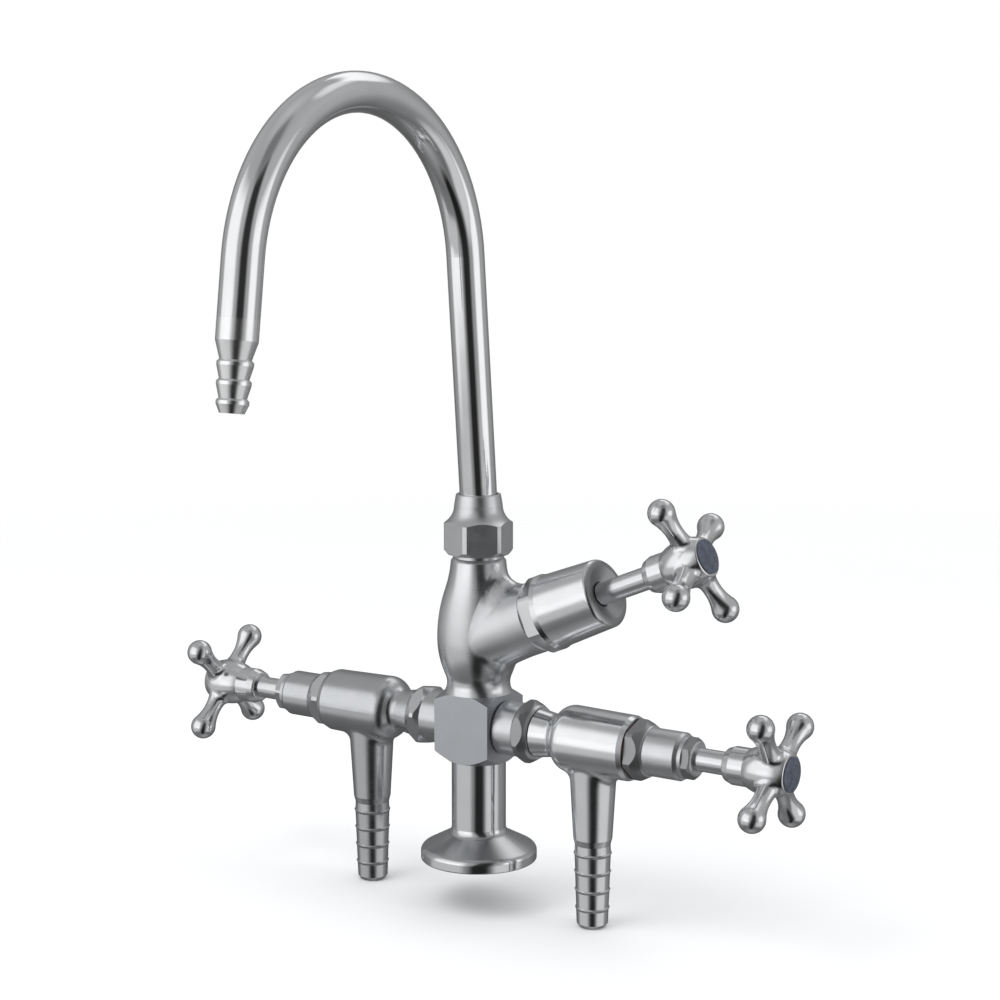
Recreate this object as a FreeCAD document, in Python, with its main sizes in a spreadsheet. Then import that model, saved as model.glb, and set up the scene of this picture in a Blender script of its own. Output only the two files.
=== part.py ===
"""Three-way swan neck bench tap with two side hose cocks.

Millimetres. The origin is the centre of the flange's underside, +Z is up, the spout hangs
over -Y, and the two side valves lie along -X (left) and +X (right).
"""
import FreeCAD
import Part
import Sketcher
import math
import os
import re

SIZES = {
    # Play between screwed, running and seated pieces
    "thread_gap": 0.05,
    "running_gap": 0.08,
    "seat_gap": 0.05,
    "swivel_gap": 0.15,
    "gasket_thickness": 1.2,
    # Flange and pillar
    "flange_radius": 27.2,
    "flange_rim": 5.6,
    "flange_round": 3.0,
    "flange_foot_round": 0.8,
    "flare_height": 13.4,
    "flare_blend": 4.0,
    "pillar_radius": 12.7,
    "inlet_radius": 9.5,
    "inlet_depth": 16.0,
    "waterway_radius": 6.0,
    "spigot_radius": 9.0,
    "spigot_depth": 6.8,
    # Centre block
    "valve_height": 64.8,
    "block_width": 29.6,
    "block_drop": 16.8,
    "block_rise": 15.4,
    "block_edge_half_height": 12.2,
    "block_foot_radius": 14.8,
    "block_top_radius": 15.9,
    "side_port_radius": 8.0,
    "side_port_depth": 6.0,
    # Body above the block
    "neck_curve": 9.0,
    "bulb_radius": 19.2,
    "bulb_rise": 25.5,
    "bulb_low_curve": 43.0,
    "bulb_low_turn": 24.0,
    "bulb_high_curve": 70.0,
    "bulb_high_turn": 18.7,
    "shoulder_curve": 54.0,
    "shoulder_lean": 4.0,
    "outlet_collar_radius": 11.7,
    "outlet_collar_rise": 63.0,
    "outlet_thread_radius": 11.3,
    "outlet_thread_rise": 64.0,
    "outlet_top_rise": 77.3,
    "outlet_bore_radius": 7.5,
    "outlet_bore_rise": 33.3,
    "tube_socket_depth": 11.5,
    "ring_seal_depth": 6.0,
    "ring_seal_wire": 1.1,
    "inlet_bore_radius": 5.0,
    # Branch of the upper valve
    "branch_rise": 24.9,
    "branch_tilt": 22.6,
    "branch_root_radius": 19.0,
    "branch_radius": 16.2,
    "branch_flare": 26.0,
    "branch_flare_curve": 170.0,
    "branch_chamfer": 0.8,
    "branch_reach": 37.0,
    "branch_blend": 10.0,
    "outlet_port_rise": 10.6,
    "outlet_port_radius": 3.5,
    # Nipples, union nuts and tails of the side valves
    "nipple_collar_radius": 10.4,
    "nipple_collar": 2.2,
    "nipple_thread_radius": 10.9,
    "nipple_length": 12.2,
    "nipple_bore_radius": 5.0,
    "union_washer_thickness": 1.0,
    "union_stand_off": 0.5,
    "union_skirt_radius": 12.5,
    "union_skirt": 10.4,
    "union_hex_width": 26.2,
    "union_hex": 8.3,
    "union_chamfer": 2.5,
    "union_chamfer_length": 4.2,
    "tail_flange": 2.7,
    "tail_neck_radius": 8.8,
    "tail_thread_radius": 7.2,
    "tail_thread": 10.0,
    # Side valve bodies
    "body_gap": 0.4,
    "cock_mouth_radius": 11.2,
    "cock_waist_radius": 9.6,
    "cock_waist_reach": 9.6,
    "cock_waist_round": 4.2,
    "cock_dome_round": 7.5,
    "barrel_radius": 15.4,
    "barrel_start": 14.7,
    "barrel_end_radius": 14.8,
    "barrel_reach": 50.6,
    "barrel_bevel": 0.8,
    "barrel_bevel_length": 2.2,
    # Hose nozzles cast on the side valves
    "hose_axis_reach": 28.2,
    "hose_root_radius": 11.5,
    "hose_taper_radius": 8.9,
    "hose_taper_drop": 44.4,
    "hose_groove_drop": 47.4,
    "hose_groove_radius": 8.1,
    "hose_ridge_radius": 8.7,
    "hose_ridge_step": 0.28,
    "hose_ridge_pitch": 8.5,
    "hose_ridge_height": 0.45,
    "hose_ridge_count": 4,
    "hose_drop": 85.4,
    "hose_tip_round": 1.2,
    "hose_bore_radius": 4.8,
    "hose_blend": 5.5,
    # Seats and chambers
    "seat_depth": 28.0,
    "seat_radius": 4.5,
    "seat_crown_radius": 6.2,
    "seat_crown": 1.0,
    "chamber_radius": 10.2,
    # Headworks
    "hex_trim": 0.965,
    "head_thread_radius": 10.9,
    "head_thread": 11.5,
    "head_washer_thickness": 0.5,
    "head_washer_radius": 12.0,
    "head_hex_width": 24.6,
    "head_hex": 8.0,
    "head_chamfer": 2.4,
    "head_chamfer_length": 4.6,
    "head_barrel_radius": 10.8,
    "head_barrel": 16.6,
    "head_groove_radius": 9.4,
    "head_groove": 2.0,
    "head_bevel": 1.2,
    "right_hex_turn": -10.0,
    "left_hex_turn": 40.0,
    "upper_hex_turn": 0.0,
    "guide_width": 12.4,
    "guide_reach": 8.0,
    "thrust_depth": 3.0,
    "box_floor": 14.0,
    "box_radius": 7.6,
    "packing_length": 5.0,
    "gland_hex_width": 16.8,
    "gland_hex": 4.6,
    "gland_chamfer": 1.6,
    # Bell over the upper headwork
    "bell_hex_width": 31.8,
    "bell_hex": 6.8,
    "bell_hex_chamfer": 0.6,
    "bell_shoulder_radius": 17.0,
    "bell_shoulder": 9.0,
    "bell_radius": 15.7,
    "bell_length": 37.7,
    "bell_dish": 3.2,
    "bell_rim": 3.4,
    "bell_wall": 1.8,
    "bell_web_start": 12.2,
    "bell_web": 6.0,
    "bell_edge_round": 2.4,
    "bell_hole_gap": 0.5,
    # Spindles and plungers
    "spindle_radius": 5.2,
    "spindle_thread_radius": 3.6,
    "spindle_thread_start": 12.5,
    "spindle_collar_radius": 5.9,
    "spindle_square": 7.0,
    "spindle_square_start": 17.0,
    "spindle_square_end": 3.0,
    "plunger_washer_radius": 7.3,
    "plunger_washer_thickness": 3.0,
    "plunger_head_radius": 8.2,
    "plunger_head": 3.5,
    "plunger_length": 23.0,
    "plunger_play": 0.1,
    "plunger_tap_depth": 15.5,
    "plunger_screw_radius": 1.65,
    "plunger_screw_depth": 5.0,
    "plunger_screw_head_radius": 3.1,
    "plunger_screw_head": 1.8,
    # Cross handles
    "side_reach": 69.2,
    "upper_reach": 85.1,
    "collar_radius": 8.5,
    "collar_reach": 23.2,
    "collar_mouth_radius": 7.2,
    "collar_flare": 3.6,
    "collar_round": 1.2,
    "collar_length": 10.6,
    "hub_curve": 22.0,
    "face_radius": 8.8,
    "face_reach": 7.2,
    "face_round": 0.8,
    "arm_root_radius": 5.9,
    "arm_root_reach": 6.5,
    "arm_neck_radius": 4.0,
    "arm_neck_reach": 16.2,
    "arm_blend": 3.6,
    "ball_radius": 6.1,
    "ball_reach": 26.85,
    "right_turn": 34.85,
    "left_turn": 42.64,
    "upper_turn": 27.74,
    "screw_hole_radius": 2.1,
    "screw_length": 12.0,
    "screw_head_radius": 4.2,
    "screw_head": 2.8,
    "screw_recess_depth": 5.5,
    "cap_radius": 7.7,
    "cap_recess": 2.0,
    "cap_edge": 0.6,
    "cap_rise": 1.1,
    # Swan neck
    "tube_radius": 8.6,
    "tube_bore_radius": 7.1,
    "tube_engagement": 10.5,
    "set_start_rise": 86.8,
    "set_radius": 110.0,
    "set_turn": 5.2,
    "riser_length": 105.0,
    "bow_radius": 76.6,
    "bow_turn": 167.04,
    "tail_length": 23.8,
    "swan_washer_thickness": 1.6,
    "ferrule_radius": 10.6,
    "ferrule_length": 2.8,
    "swan_nut_stand_off": 0.7,
    "swan_nut_foot_radius": 14.3,
    "swan_nut_foot": 1.9,
    "swan_nut_width": 28.6,
    "swan_nut_hex": 12.4,
    "swan_nut_flare": 8.2,
    "swan_nut_flare_curve": 9.5,
    "swan_sleeve_radius": 11.2,
    "swan_sleeve_top_radius": 10.3,
    "swan_sleeve": 5.2,
    "swan_nut_turn": 41.0,
    # Spout nozzle
    "spout_plug": 6.0,
    "spout_plain": 8.6,
    "spout_cone": 7.4,
    "spout_valley_radius": 6.4,
    "spout_ridge_radius": 7.4,
    "spout_ridge_step": 0.4,
    "spout_ridge_pitch": 7.6,
    "spout_ridge_count": 3,
    "spout_bore_radius": 4.0,
    "spout_tip_length": 5.9,
    "spout_tip_radius": 5.0,
}

BLOCK_TOP = "(valve_height + block_rise)"
BLOCK_BOTTOM = "(valve_height - block_drop)"
BLOCK_FACE = "(block_width / 2)"
OUTLET_TOP = f"({BLOCK_TOP} + outlet_top_rise)"
BRANCH_HEIGHT = f"({BLOCK_TOP} + branch_rise)"
UNION_START = f"({BLOCK_FACE} + union_stand_off)"
UNION_END = f"({UNION_START} + union_skirt + union_hex)"
NIPPLE_END = f"({BLOCK_FACE} + nipple_length)"
TAIL_START = f"({NIPPLE_END} + union_washer_thickness)"
COCK_START = f"({UNION_END} + body_gap)"
COCK_END = f"({COCK_START} + barrel_reach)"
SHOULDER = {"left": COCK_END, "right": COCK_END, "upper": "branch_reach"}
REACH = {"left": "side_reach", "right": "side_reach", "upper": "upper_reach"}
TURN = {"left": "left_turn", "right": "right_turn", "upper": "upper_turn"}
HEX_TURN = {"left": "left_hex_turn", "right": "right_hex_turn", "upper": "upper_hex_turn"}

doc = FreeCAD.newDocument("SwanNeckTap")
sheet = doc.addObject("Spreadsheet::Sheet", "Sizes")
for row, (alias, size) in enumerate(SIZES.items(), start=1):
    sheet.set(f"A{row}", alias)
    sheet.set(f"B{row}", str(size))
    sheet.setAlias(f"B{row}", alias)
doc.recompute()

pieces = []


def bound(text):
    """Turn bare size names into references to the sheet."""
    return re.sub(r"[a-z_]+", lambda word: f"Sizes.{word[0]}" if word[0] in SIZES else word[0], str(text))


def number(text):
    """The present value of an expression."""
    return float(sheet.evalExpression(bound(text)))


# Sketches

def new_body(name):
    """One physical piece; its label names its file."""
    body = doc.addObject("PartDesign::Body", name)
    body.Label = name
    pieces.append(body)
    return body


def plane(body, role):
    """One of the body's own origin planes."""
    return next(item for item in body.Origin.OriginFeatures if item.Role == role)


def new_sketch(body, name, role, across="0", up="0", lean="0", seam=0):
    """A sketch on an origin plane, moved and leant clockwise within it, or turned about its upright."""
    sketch = body.newObject("Sketcher::SketchObject", f"{body.Name}_{name}")
    sketch.AttachmentSupport = [(plane(body, role), "")]
    sketch.MapMode = "FlatFace"
    spin = FreeCAD.Rotation(FreeCAD.Vector(0, 0, -1), number(lean))
    if seam:
        spin = FreeCAD.Rotation(FreeCAD.Vector(0, 1, 0), seam)
    sketch.AttachmentOffset = FreeCAD.Placement(FreeCAD.Vector(number(across), number(up), 0), spin)
    for axis, text in (("x", across), ("y", up)):
        if text != "0":
            sketch.setExpression(f"AttachmentOffset.Base.{axis}", bound(text))
    if lean != "0":
        sketch.setExpression("AttachmentOffset.Rotation.Angle", bound(lean))
    return sketch


def edge_between(start, end, radius, side):
    """An arc of the radius from start to end; side +1 turns left, -1 turns right."""
    middle = (start + end) * 0.5
    half = (end - start).Length / 2
    along = (end - start).normalize()
    left = FreeCAD.Vector(-along.y, along.x, 0)
    bulge = radius - math.sqrt(radius * radius - half * half)
    top = middle - left * (bulge * side)
    if side > 0:
        return Part.Arc(start, top, end), 1, 2
    return Part.Arc(end, top, start), 2, 1


def draw(sketch, points, closed=True):
    """Lines and arcs through the points, every point held by its two sizes."""
    spots = [FreeCAD.Vector(number(point[0]), number(point[1]), 0) for point in points]
    count = len(points)
    ends = []
    for index in range(count if closed else count - 1):
        start, end = spots[index], spots[(index + 1) % count]
        if len(points[index]) == 2:
            ends.append((sketch.addGeometry(Part.LineSegment(start, end)), 1, 2))
        else:
            arc, first, last = edge_between(start, end, number(points[index][2]), points[index][3])
            ends.append((sketch.addGeometry(arc), first, last))
    for index, (edge, first, last) in enumerate(ends):
        if closed or index + 1 < len(ends):
            after, after_first, after_last = ends[(index + 1) % len(ends)]
            sketch.addConstraint(Sketcher.Constraint("Coincident", edge, last, after, after_first))
        hold(sketch, edge, first, points[index], spots[index])
        if len(points[index]) > 2:
            radius = sketch.addConstraint(Sketcher.Constraint("Radius", edge, number(points[index][2])))
            sketch.setExpression(f"Constraints[{radius}]", bound(points[index][2]))
    if not closed:
        edge, first, last = ends[-1]
        hold(sketch, edge, last, points[-1], spots[-1])


def hold(sketch, edge, end, point, spot):
    """Fix one end of an edge at its two sizes, or on an axis where a size is nought."""
    for kind, text, where, axis in (("DistanceX", point[0], spot.x, -2), ("DistanceY", point[1], spot.y, -1)):
        if abs(where) < 1e-9:
            sketch.addConstraint(Sketcher.Constraint("PointOnObject", edge, end, axis))
        else:
            made = sketch.addConstraint(Sketcher.Constraint(kind, -1, 1, edge, end, where))
            sketch.setExpression(f"Constraints[{made}]", bound(text))


def polygon(sketch, sides, width):
    """A regular polygon about the sketch's origin, given across its flats, one corner on X."""
    half = number(width) / 2
    corner = half / math.cos(math.pi / sides)
    spots = [FreeCAD.Vector(corner * math.cos(2 * math.pi * k / sides), corner * math.sin(2 * math.pi * k / sides), 0)
             for k in range(sides)]
    lines = [sketch.addGeometry(Part.LineSegment(spots[k], spots[(k + 1) % sides])) for k in range(sides)]
    ring = sketch.addGeometry(Part.Circle(FreeCAD.Vector(0, 0, 0), FreeCAD.Vector(0, 0, 1), corner), True)
    sketch.addConstraint(Sketcher.Constraint("Coincident", ring, 3, -1, 1))
    for k in range(sides):
        sketch.addConstraint(Sketcher.Constraint("Coincident", lines[k], 2, lines[(k + 1) % sides], 1))
        sketch.addConstraint(Sketcher.Constraint("PointOnObject", lines[k], 1, ring))
        if k:
            sketch.addConstraint(Sketcher.Constraint("Equal", lines[0], lines[k]))
    sketch.addConstraint(Sketcher.Constraint("PointOnObject", lines[0], 1, -1))
    flat = sketch.addConstraint(Sketcher.Constraint("Distance", -1, 1, lines[0], half))
    sketch.setExpression(f"Constraints[{flat}]", bound(f"({width}) / 2"))


# Features

def turned(body, name, points, cut=False, across="0", up="0", lean="0", seam=0):
    """Metal turned about an axis in the XZ plane, or cut away about it."""
    sketch = new_sketch(body, f"{name}_outline", "XZ_Plane", across, up, lean, seam)
    draw(sketch, points)
    before = body.Shape.Volume if cut else 0
    kind = "PartDesign::Groove" if cut else "PartDesign::Revolution"
    feature = body.newObject(kind, f"{body.Name}_{name}")
    feature.Profile = (sketch, [""])
    feature.ReferenceAxis = (sketch, ["V_Axis"])
    feature.Angle = 360
    doc.recompute()
    if cut and not body.Shape.Volume < before:
        raise RuntimeError(f"{body.Name}: {name} cuts nothing")
    return feature


def flats(body, name, width, low, length, sides=6, turn="0", inside=False):
    """Flats cut about the Z axis: round the outside, or as a keyed hole."""
    sketch = body.newObject("Sketcher::SketchObject", f"{body.Name}_{name}_flats")
    sketch.AttachmentSupport = [(plane(body, "XY_Plane"), "")]
    sketch.MapMode = "FlatFace"
    spin = FreeCAD.Rotation(FreeCAD.Vector(0, 0, 1), number(turn))
    sketch.AttachmentOffset = FreeCAD.Placement(FreeCAD.Vector(0, 0, number(low)), spin)
    sketch.setExpression("AttachmentOffset.Base.z", bound(low))
    if turn != "0":
        sketch.setExpression("AttachmentOffset.Rotation.Angle", bound(turn))
    polygon(sketch, sides, width)
    if not inside:
        ring = sketch.addGeometry(Part.Circle(FreeCAD.Vector(0, 0, 0), FreeCAD.Vector(0, 0, 1), number(width)))
        sketch.addConstraint(Sketcher.Constraint("Coincident", ring, 3, -1, 1))
        outer = sketch.addConstraint(Sketcher.Constraint("Radius", ring, number(width)))
        sketch.setExpression(f"Constraints[{outer}]", bound(width))
    before = body.Shape.Volume
    pocket = body.newObject("PartDesign::Pocket", f"{body.Name}_{name}")
    pocket.Profile = sketch
    pocket.Type = "Length"
    pocket.Length = number(length)
    pocket.setExpression("Length", bound(length))
    pocket.Reversed = True
    doc.recompute()
    if not body.Shape.Volume < before:
        raise RuntimeError(f"{body.Name}: {name} cuts nothing")
    return pocket


def rounded(body, name, size, spots):
    """Round the turned edges that lie at the given radii and heights."""
    wanted = [(number(radius), number(height)) for radius, height in spots]
    names = []
    for index, edge in real_edges(body):
        if isinstance(edge.Curve, Part.Circle):
            curve = edge.Curve
            axial = math.hypot(curve.Center.x, curve.Center.y) < 1e-4 and abs(curve.Axis.z) > 0.999
            if axial and any(math.hypot(curve.Radius - r, curve.Center.z - z) < 1e-3 for r, z in wanted):
                names.append(f"Edge{index}")
    blend(body, name, size, names)


def blend(body, name, size, names):
    """Fillet the named edges of the body as it stands."""
    if not names:
        raise RuntimeError(f"{body.Name}: {name} finds no edge")
    before = body.Tip
    feature = body.newObject("PartDesign::Fillet", f"{body.Name}_{name}")
    feature.Base = (before, names)
    feature.Radius = number(size)
    feature.setExpression("Radius", bound(size))
    doc.recompute()
    if feature.Shape.isNull() or not feature.Shape.isValid():
        raise RuntimeError(f"{body.Name}: {name} fails")
    return feature


def real_edges(body):
    """The numbered edges of the body as it stands, without the points where a surface closes."""
    return [(index, edge) for index, edge in enumerate(body.Tip.Shape.Edges, start=1) if not edge.Degenerated]


def crossing_edges(body):
    """Edges where two turned forms with different axes run into each other."""
    kinds = (Part.Line, Part.Circle)
    return [f"Edge{index}" for index, edge in real_edges(body)
            if not isinstance(edge.Curve, kinds) and edge.BoundBox.ZLength > 0.01
            and not edge.isSeam(edge_face(body, edge))]


def edge_face(body, edge):
    """A face that the edge bounds."""
    return body.Tip.Shape.ancestorsOfType(edge, Part.Face)[0]


def ring(inner, outer, low, high):
    """A plain ring's outline."""
    return [(inner, low), (outer, low), (outer, high), (inner, high)]


# Placements

def on_valve(body, side, turn="0"):
    """Put a piece, drawn along Z from the centre line, on a valve's axis."""
    roll = FreeCAD.Rotation(FreeCAD.Vector(0, 0, 1), number(turn))
    half = FreeCAD.Rotation(FreeCAD.Vector(0, 0, 1), 180)
    tip = {"left": -90, "right": 90, "upper": 90 - number("branch_tilt")}[side]
    swing = FreeCAD.Rotation(FreeCAD.Vector(0, 1, 0), tip)
    if side == "left":
        swing = swing.multiply(half)
    height = BRANCH_HEIGHT if side == "upper" else "valve_height"
    body.Placement = FreeCAD.Placement(FreeCAD.Vector(0, 0, number(height)), swing.multiply(roll))
    body.setExpression("Placement.Base.z", bound(height))


def over_basin(body):
    """Turn a piece, drawn with the spout over +X, so that the spout hangs over -Y."""
    body.Placement = FreeCAD.Placement(FreeCAD.Vector(0, 0, 0), FreeCAD.Rotation(FreeCAD.Vector(0, 0, 1), -90))


# Base and centre

def make_base_pillar():
    """Flange and pillar, with the inlet thread below and a spigot into the block above."""
    body = new_body("base_pillar")
    top = f"({BLOCK_BOTTOM} + spigot_depth - gasket_thickness)"
    turned(body, "casting", [
        ("inlet_radius", "0"), ("flange_radius", "0"), ("flange_radius", "flange_rim"),
        ("pillar_radius", "flare_height"), ("pillar_radius", BLOCK_BOTTOM),
        ("spigot_radius", BLOCK_BOTTOM), ("spigot_radius", top), ("waterway_radius", top),
        ("waterway_radius", "inlet_depth"), ("inlet_radius", "inlet_depth")])
    rounded(body, "rim", "flange_round", [("flange_radius", "flange_rim")])
    rounded(body, "foot", "flange_foot_round", [("flange_radius", "0")])
    rounded(body, "flare", "flare_blend", [("pillar_radius", "flare_height")])


def make_pillar_gasket():
    """Fibre ring between the pillar's spigot and the block."""
    body = new_body("pillar_gasket")
    floor = f"({BLOCK_BOTTOM} + spigot_depth)"
    turned(body, "ring", ring("waterway_radius", "spigot_radius - thread_gap",
                              f"{floor} - gasket_thickness", floor))


def make_centre_block():
    """Square block that joins the pillar, both side valves and the upper body."""
    body = new_body("centre_block")
    corner = "(block_width / sqrt(2))"
    turned(body, "blank", [
        ("waterway_radius", BLOCK_BOTTOM), ("block_foot_radius", BLOCK_BOTTOM),
        (corner, "valve_height - block_edge_half_height"),
        (corner, "valve_height + block_edge_half_height"),
        ("block_top_radius", BLOCK_TOP), ("waterway_radius", BLOCK_TOP)])
    flats(body, "sides", "block_width", "0", BLOCK_TOP, sides=4, turn="45")
    sockets = "spigot_radius + thread_gap"
    turned(body, "lower_socket", ring("0", sockets, BLOCK_BOTTOM, f"{BLOCK_BOTTOM} + spigot_depth"), cut=True)
    turned(body, "upper_socket", ring("0", sockets, f"{BLOCK_TOP} - spigot_depth", BLOCK_TOP), cut=True)
    for name, lean in (("right", "90"), ("left", "270")):
        turned(body, f"{name}_port", [
            ("0", "0"), ("nipple_bore_radius", "0"),
            ("nipple_bore_radius", f"{BLOCK_FACE} - side_port_depth"),
            ("side_port_radius + thread_gap", f"{BLOCK_FACE} - side_port_depth"),
            ("side_port_radius + thread_gap", BLOCK_FACE), ("0", BLOCK_FACE)],
            cut=True, up="valve_height", lean=lean)


# Body above the block

def bulb_outline():
    """The bulb's outside from the block to its shoulder: four arcs, each tangent to the next."""
    low = "(bulb_low_turn * 1 deg)"
    high = "(bulb_high_turn * 1 deg)"
    top = "(shoulder_lean * 1 deg)"
    waist_x = f"(bulb_radius - bulb_low_curve * (1 - cos{low}))"
    waist_z = f"(bulb_rise - bulb_low_curve * sin{low})"
    centre_x = f"({waist_x} + neck_curve * cos{low})"
    centre_z = f"({waist_z} - neck_curve * sin{low})"
    foot_x = f"({centre_x} - sqrt(neck_curve ^ 2 - {centre_z} ^ 2))"
    breast_x = f"(bulb_radius - bulb_high_curve * (1 - cos{high}))"
    breast_z = f"(bulb_rise + bulb_high_curve * sin{high})"
    shoulder_x = f"({breast_x} - shoulder_curve * (cos{top} - cos{high}))"
    shoulder_z = f"({breast_z} + shoulder_curve * (sin{high} - sin{top}))"
    return [(foot_x, BLOCK_TOP, "neck_curve", -1), (waist_x, f"{BLOCK_TOP} + {waist_z}", "bulb_low_curve", 1),
            ("bulb_radius", f"{BLOCK_TOP} + bulb_rise", "bulb_high_curve", 1),
            (breast_x, f"{BLOCK_TOP} + {breast_z}", "shoulder_curve", -1),
            (shoulder_x, f"{BLOCK_TOP} + {shoulder_z}")]


def make_swan_valve_body():
    """Bulb-shaped casting with the inclined branch of the upper valve."""
    body = new_body("swan_valve_body")
    spigot_end = f"({BLOCK_TOP} - spigot_depth + gasket_thickness)"
    turned(body, "bulb", [
        ("0", spigot_end), ("spigot_radius", spigot_end), ("spigot_radius", BLOCK_TOP), *bulb_outline(),
        ("outlet_collar_radius", f"{BLOCK_TOP} + outlet_collar_rise"),
        ("outlet_collar_radius", f"{BLOCK_TOP} + outlet_thread_rise"),
        ("outlet_thread_radius", f"{BLOCK_TOP} + outlet_thread_rise"),
        ("outlet_thread_radius", OUTLET_TOP), ("0", OUTLET_TOP)], seam=90)
    lean = "90 - branch_tilt"
    turned(body, "branch", [
        ("0", "0"), ("branch_root_radius", "0", "branch_flare_curve", -1), ("branch_radius", "branch_flare"),
        ("branch_radius", "branch_reach - branch_chamfer"),
        ("branch_radius - branch_chamfer", "branch_reach"), ("0", "branch_reach")],
        up=BRANCH_HEIGHT, lean=lean)
    blend(body, "branch_root", "branch_blend", crossing_edges(body))
    hollow_upper_body(body, lean)


def hollow_upper_body(body, lean):
    """Inlet bore, seat and chamber of the upper valve, outlet bore and tube socket."""
    spigot_end = f"({BLOCK_TOP} - spigot_depth + gasket_thickness)"
    seat_start = "(branch_reach - seat_depth - seat_crown)"
    thread_start = "(branch_reach - head_thread - 1)"
    turned(body, "inlet", ring("0", "inlet_bore_radius", spigot_end, BRANCH_HEIGHT), cut=True)
    turned(body, "seat_passage", ring("0", "seat_radius", "0", seat_start),
           cut=True, up=BRANCH_HEIGHT, lean=lean)
    turned(body, "chamber", [
        ("0", seat_start), ("seat_radius", seat_start),
        ("seat_radius", f"{seat_start} + seat_crown"),
        ("seat_crown_radius", f"{seat_start} + seat_crown"), ("seat_crown_radius", seat_start),
        ("chamber_radius", seat_start), ("chamber_radius", thread_start),
        ("head_thread_radius + thread_gap", thread_start),
        ("head_thread_radius + thread_gap", "branch_reach"), ("0", "branch_reach")],
        cut=True, up=BRANCH_HEIGHT, lean=lean)
    seal = f"({OUTLET_TOP} - ring_seal_depth)"
    socket = "(tube_radius + swivel_gap)"
    turned(body, "outlet", [
        ("0", f"{BLOCK_TOP} + outlet_bore_rise"), ("outlet_bore_radius", f"{BLOCK_TOP} + outlet_bore_rise"),
        ("outlet_bore_radius", f"{OUTLET_TOP} - tube_socket_depth"),
        (socket, f"{OUTLET_TOP} - tube_socket_depth"), (socket, seal),
        (f"{socket} + ring_seal_wire", seal), (f"{socket} + ring_seal_wire", f"{seal} + 1.2 * ring_seal_wire"),
        (socket, f"{seal} + 1.2 * ring_seal_wire"), (socket, OUTLET_TOP), ("0", OUTLET_TOP)], cut=True)
    turned(body, "outlet_port", ring("0", "outlet_port_radius", "0", f"{seat_start} + 1"),
           cut=True, up=f"{BRANCH_HEIGHT} + outlet_port_rise", lean=lean)


def make_swan_body_gasket():
    """Fibre ring under the upper body's spigot."""
    body = new_body("swan_body_gasket")
    floor = f"({BLOCK_TOP} - spigot_depth)"
    turned(body, "ring", ring("waterway_radius", "spigot_radius - thread_gap",
                              floor, f"{floor} + gasket_thickness"))


# Swan neck

def make_swan_ring_seal():
    """Rubber ring in the outlet's groove, round the foot of the tube."""
    body = new_body("swan_ring_seal")
    seal = f"({OUTLET_TOP} - ring_seal_depth)"
    turned(body, "ring", ring("tube_radius + running_gap", "tube_radius + swivel_gap + ring_seal_wire - 0.05",
                              f"{seal} + 0.1 * ring_seal_wire", f"{seal} + 1.1 * ring_seal_wire"))


def make_swan_washer():
    """Slip washer that the ferrule turns on."""
    body = new_body("swan_washer")
    turned(body, "ring", ring("tube_radius + swivel_gap", "ferrule_radius", OUTLET_TOP,
                              f"{OUTLET_TOP} + swan_washer_thickness - seat_gap"))


def make_swan_nut():
    """Hexagon nut with a flared sleeve that holds the neck and lets it turn."""
    body = new_body("swan_nut")
    low = f"({BLOCK_TOP} + outlet_thread_rise + swan_nut_stand_off)"
    hex_low = f"({low} + swan_nut_foot)"
    hex_high = f"({hex_low} + swan_nut_hex)"
    sleeve = f"({hex_high} + swan_nut_flare)"
    lip = f"({OUTLET_TOP} + swan_washer_thickness + ferrule_length + 2 * seat_gap)"
    corner = "(hex_trim * swan_nut_width / sqrt(3))"
    turned(body, "blank", [
        ("outlet_thread_radius + thread_gap", low), ("swan_nut_foot_radius", low),
        (corner, hex_low), (corner, hex_high, "swan_nut_flare_curve", -1),
        ("swan_sleeve_radius", sleeve), ("swan_sleeve_top_radius", f"{sleeve} + swan_sleeve"),
        ("tube_radius + 2 * swivel_gap", f"{sleeve} + swan_sleeve"), ("tube_radius + 2 * swivel_gap", lip),
        ("outlet_thread_radius + thread_gap", lip)])
    flats(body, "hexagon", "swan_nut_width", low, "swan_nut_foot + swan_nut_hex + 2", turn="swan_nut_turn")
    rounded(body, "top_edge", "0.5", [("swan_sleeve_top_radius", f"{sleeve} + swan_sleeve")])


def make_swan_ferrule():
    """Collar brazed on the tube, caught under the nut."""
    body = new_body("swan_ferrule")
    low = f"({OUTLET_TOP} + swan_washer_thickness)"
    turned(body, "ring", ring("tube_radius", "ferrule_radius", low, f"{low} + ferrule_length"))


def neck_path():
    """Points of the tube's centre line, spout over +X, and the direction at its end."""
    lean = "(set_turn * 1 deg)"
    over = "((set_turn + bow_turn) * 1 deg)"
    foot = f"({OUTLET_TOP} - tube_engagement)"
    set_start = f"({BLOCK_TOP} + set_start_rise)"
    riser_x = f"(set_radius * (1 - cos{lean}))"
    riser_z = f"({set_start} + set_radius * sin{lean})"
    bow_x = f"({riser_x} + riser_length * sin{lean})"
    bow_z = f"({riser_z} + riser_length * cos{lean})"
    tail_x = f"({bow_x} + bow_radius * (cos{lean} - cos{over}))"
    tail_z = f"({bow_z} + bow_radius * (sin{over} - sin{lean}))"
    end_x = f"({tail_x} + tail_length * sin{over})"
    end_z = f"({tail_z} + tail_length * cos{over})"
    points = [("0", foot), ("0", set_start, "set_radius", -1), (riser_x, riser_z),
              (bow_x, bow_z, "bow_radius", -1), (tail_x, tail_z), (end_x, end_z)]
    return points, end_x, end_z


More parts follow.
